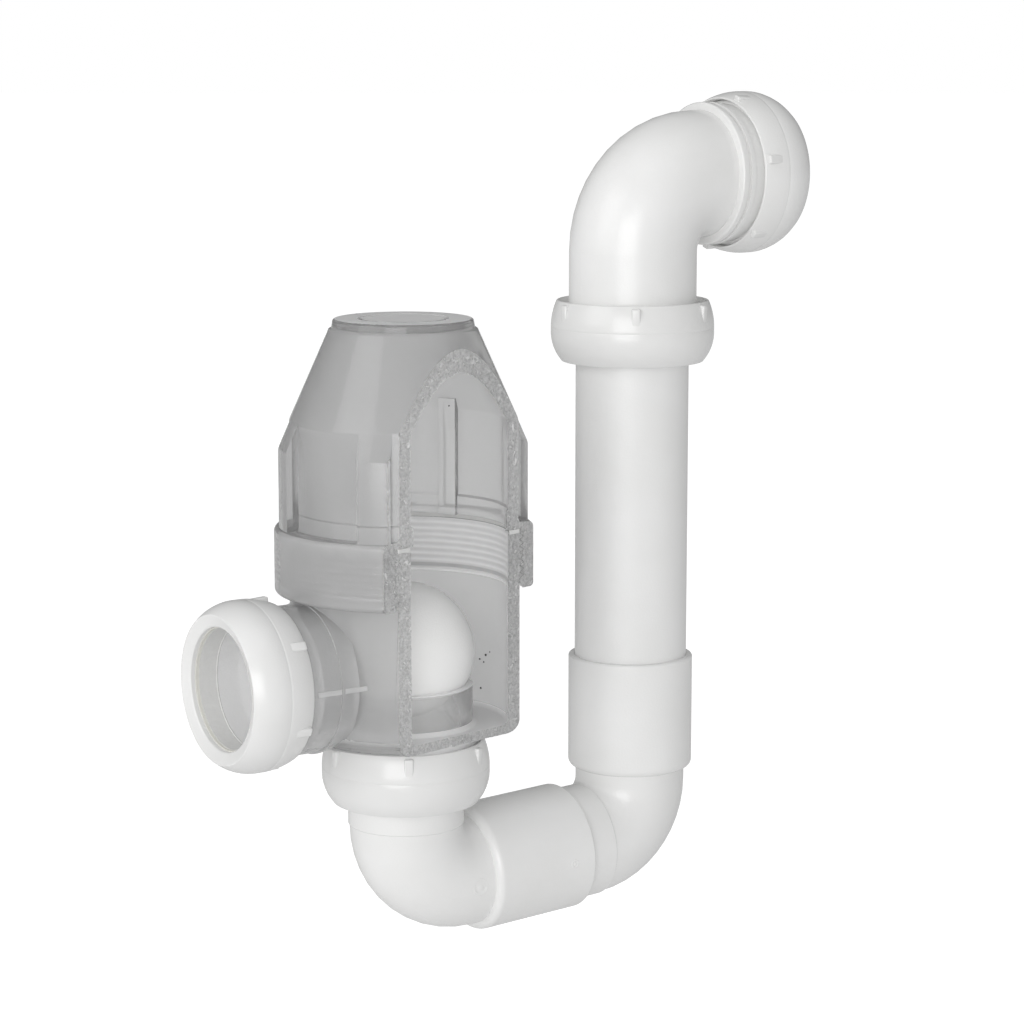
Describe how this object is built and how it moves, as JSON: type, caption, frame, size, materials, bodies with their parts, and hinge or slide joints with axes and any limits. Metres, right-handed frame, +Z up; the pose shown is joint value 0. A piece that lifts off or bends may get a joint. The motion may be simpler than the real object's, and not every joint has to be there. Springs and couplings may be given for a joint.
{
  "type": "washing machine standpipe trap",
  "caption": "Waste trap for a washing machine: translucent bottle with a ball valve, cut open on one side, with compression nuts, a U-bend, a riser pipe and an inlet elbow.",
  "frame": {"origin": "middle of the outlet socket's bore, on its axis", "axes": "+X level from the bottle to the riser, +Z up, and the outlet opens along -X"},
  "size_m": [0.2451, 0.0833, 0.3117],
  "materials": {
    "bottle_plastic": "translucent moulded polypropylene, clear grey, rough where it was sawn",
    "white_plastic": "white moulded plastic, satin to glossy",
    "ball_plastic": "white hollow plastic ball, matt",
    "seal_rubber": "dark rubber",
    "ring_nylon": "natural nylon"
  },
  "bodies": {
    "trap": {"trap_body": "bottle_plastic", "trap_cap": "bottle_plastic", "cap_seal": "seal_rubber", "outlet_nut": "white_plastic", "outlet_slip_ring": "ring_nylon", "outlet_seal": "seal_rubber", "bottom_nut": "white_plastic", "bottom_slip_ring": "ring_nylon", "bottom_seal": "seal_rubber"},
    "ball": {"float_ball": "ball_plastic"},
    "u_bend": {"bottle_elbow": "white_plastic", "riser_elbow": "white_plastic", "riser_pipe": "white_plastic"},
    "inlet": {"inlet_elbow": "white_plastic", "riser_nut": "white_plastic", "riser_slip_ring": "ring_nylon", "riser_seal": "seal_rubber", "inlet_nut": "white_plastic", "inlet_slip_ring": "ring_nylon", "inlet_seal": "seal_rubber"}
  },
  "joints": [
    {"name": "ball_lift", "type": "slide", "parent": "trap", "child": "ball", "axis": [0, 0, 1], "range_m": [0, 0.0927]},
    {"name": "u_bend_swivel", "type": "hinge", "parent": "trap", "child": "u_bend", "pos_m": [0.0572, 0, -0.0829], "axis": [0, 0, 1], "range_deg": [-120, 120]},
    {"name": "inlet_swivel", "type": "hinge", "parent": "u_bend", "child": "inlet", "pos_m": [0.1599, 0, 0], "axis": [0, 0, 1], "continuous": true}
  ]
}
